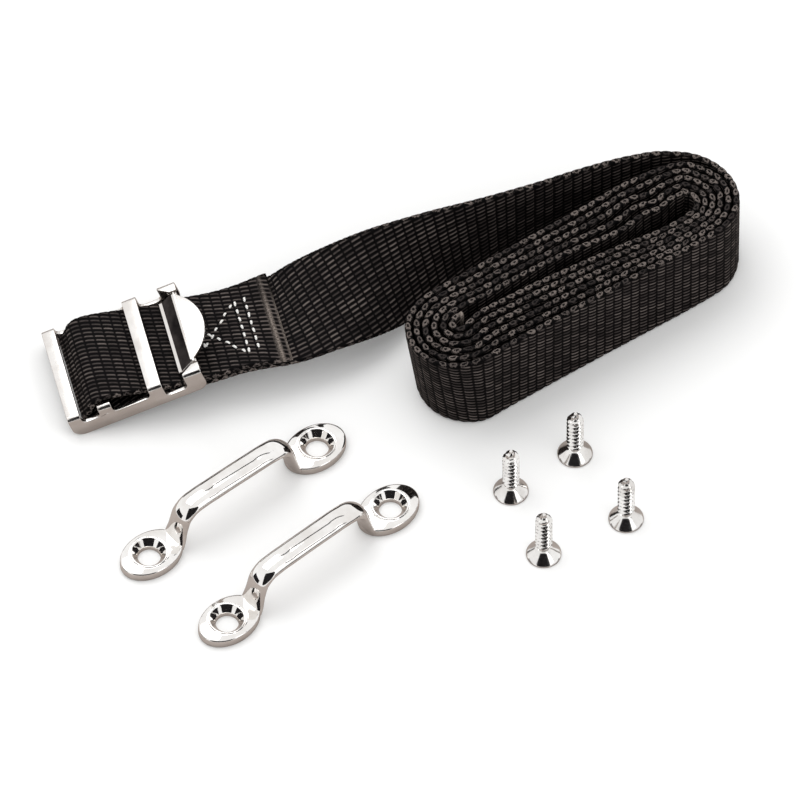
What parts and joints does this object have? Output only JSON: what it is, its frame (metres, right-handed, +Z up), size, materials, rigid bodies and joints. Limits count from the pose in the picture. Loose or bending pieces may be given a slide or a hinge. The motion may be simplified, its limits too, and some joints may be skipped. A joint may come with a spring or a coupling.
{
  "type": "tank hold-down strap kit",
  "caption": "Coiled webbing strap with a pressed cam buckle, footman's loops to thread it through and countersunk screws to fix them.",
  "frame": {"origin": "centre of the laid-out kit's footprint, on the surface it lies on", "axes": "+Z up; +X from the buckle towards the far end of the coil; +Y away from the screws and loops, towards the strap"},
  "size_m": [0.1658, 0.128, 0.0251],
  "materials": {
    "chrome": "bright nickel-chrome plating",
    "steel": "polished stainless steel",
    "webbing": "woven polypropylene webbing",
    "thread": "bonded polyester thread"
  },
  "bodies": {
    "root": {"buckle_frame": "chrome", "lever_pin": "steel", "strap_end": "webbing", "strap_run": "webbing", "strap_coil": "webbing", "stitching": "thread", "footman_loop_1": "chrome", "footman_loop_2": "chrome", "screw_1": "steel", "screw_2": "steel", "screw_3": "steel", "screw_4": "steel"},
    "lever": {"buckle_lever": "chrome", "lever_spring": "steel"}
  },
  "joints": [
    {"name": "lever_press", "type": "hinge", "parent": "root", "child": "lever", "pos_m": [-0.04893, 0.01839, 0.01262], "axis": [-0.2385, 0.9711, 0], "range_deg": [-8, 40], "stiffness_Nm_per_rad": 0.02}
  ]
}
